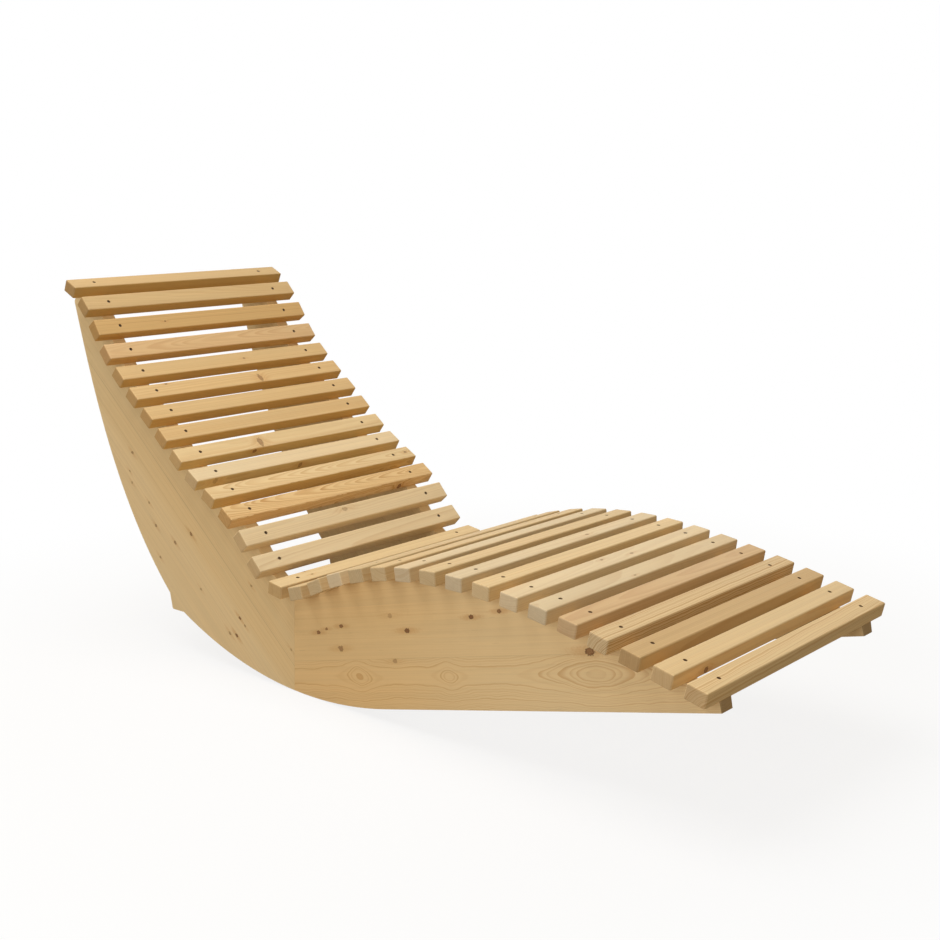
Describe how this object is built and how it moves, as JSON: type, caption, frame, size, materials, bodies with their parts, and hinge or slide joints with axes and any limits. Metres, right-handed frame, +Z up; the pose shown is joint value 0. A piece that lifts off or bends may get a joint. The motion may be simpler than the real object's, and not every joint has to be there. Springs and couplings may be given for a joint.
{
  "type": "rocking chaise lounge",
  "caption": "Full-length wooden rocking lounger: two curved side panels with rocker arcs carry a row of cross slats shaped to a lying body.",
  "frame": {"origin": "on the floor, at the middle of the bounding box, with the lounger standing as it balances when empty, rolled back on its rockers", "axes": "+X toward the foot end, +Y toward the sitter's left, +Z up"},
  "size_m": [1.7498, 0.6, 0.8276],
  "materials": {
    "slat_wood": "planed softwood, clear satin",
    "board_wood": "planed softwood, clear satin",
    "dowel_wood": "plain turned beech",
    "screw_steel": "dull plated steel"
  },
  "bodies": {
    "root": {"slat_01": "slat_wood", "slat_02": "slat_wood", "slat_03": "slat_wood", "slat_04": "slat_wood", "slat_05": "slat_wood", "slat_06": "slat_wood", "slat_07": "slat_wood", "slat_08": "slat_wood", "slat_09": "slat_wood", "slat_10": "slat_wood", "slat_11": "slat_wood", "slat_12": "slat_wood", "slat_13": "slat_wood", "slat_14": "slat_wood", "slat_15": "slat_wood", "slat_16": "slat_wood", "slat_17": "slat_wood", "slat_18": "slat_wood", "slat_19": "slat_wood", "slat_20": "slat_wood", "slat_21": "slat_wood", "slat_22": "slat_wood", "slat_23": "slat_wood", "slat_24": "slat_wood", "slat_25": "slat_wood", "slat_26": "slat_wood", "slat_27": "slat_wood", "slat_28": "slat_wood", "slat_29": "slat_wood", "slat_30": "slat_wood", "slat_31": "slat_wood", "back_board_left": "board_wood", "back_board_right": "board_wood", "seat_board_left": "board_wood", "seat_board_right": "board_wood", "seam_dowels_left": "dowel_wood", "seam_dowels_right": "dowel_wood", "slat_screws_left": "screw_steel", "slat_screws_right": "screw_steel"}
  },
  "joints": []
}
